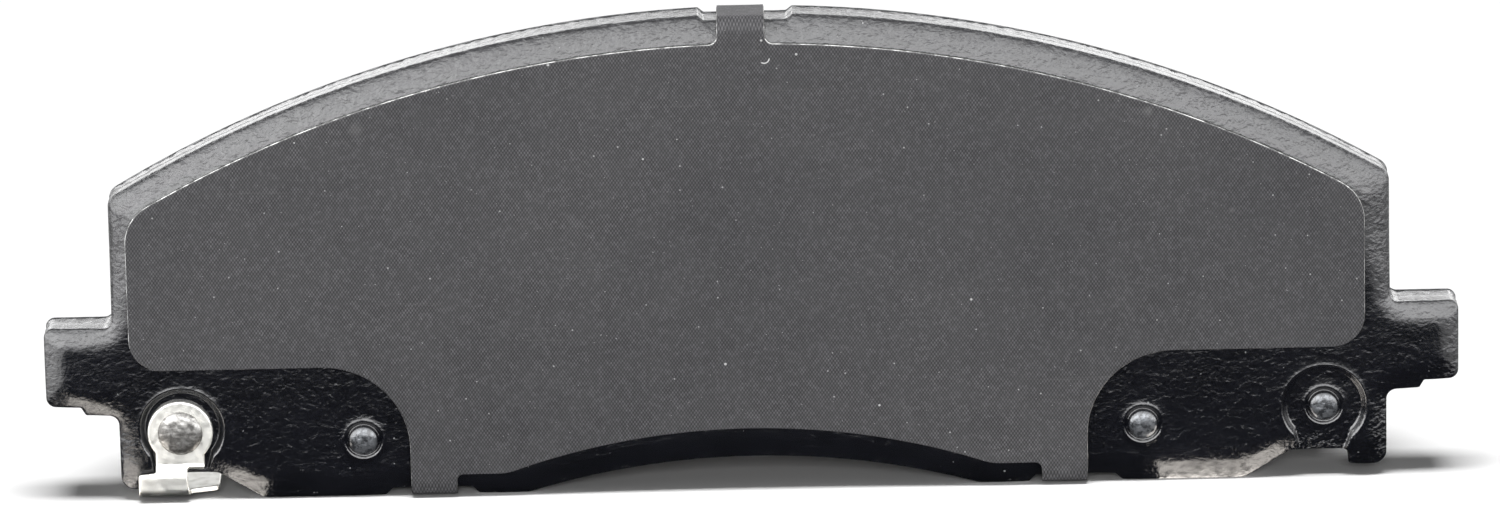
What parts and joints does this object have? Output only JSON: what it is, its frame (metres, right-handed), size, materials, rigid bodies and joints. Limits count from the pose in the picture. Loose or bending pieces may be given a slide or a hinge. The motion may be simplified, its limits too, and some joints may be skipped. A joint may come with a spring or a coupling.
{
  "type": "brake pad",
  "caption": "Front disc brake pad: arched steel backing plate with end ears, clip-on textured noise shim, slotted and chamfered friction block, and a riveted wear indicator.",
  "frame": {"origin": "on the plane that the pad stands on, under the middle of its length and of its thickness", "axes": "+X along the pad, from the end with the wear indicator to the other; +Y through the thickness, from the shim to the friction face; +Z from the arched edge to the outer edge, away from the axle"},
  "size_m": [0.188, 0.0194, 0.0654],
  "materials": {
    "plate_paint": "satin",
    "bond_film": "matte",
    "underlayer": "matte",
    "friction": "matte",
    "shim_adhesive": "matte",
    "shim_rubber": "matte",
    "shim_steel": "satin",
    "shim_coating": "matte",
    "zinc_steel": "satin",
    "rivet_steel": "satin"
  },
  "bodies": {
    "root": {"backing_plate": "plate_paint", "bond_film": "bond_film", "underlayer": "underlayer", "friction_lining": "friction", "shim_adhesive": "shim_adhesive", "shim_inner_coating": "shim_rubber", "shim_core": "shim_steel", "shim_outer_coating": "shim_coating", "wear_indicator": "zinc_steel", "indicator_rivet": "rivet_steel"}
  },
  "joints": []
}
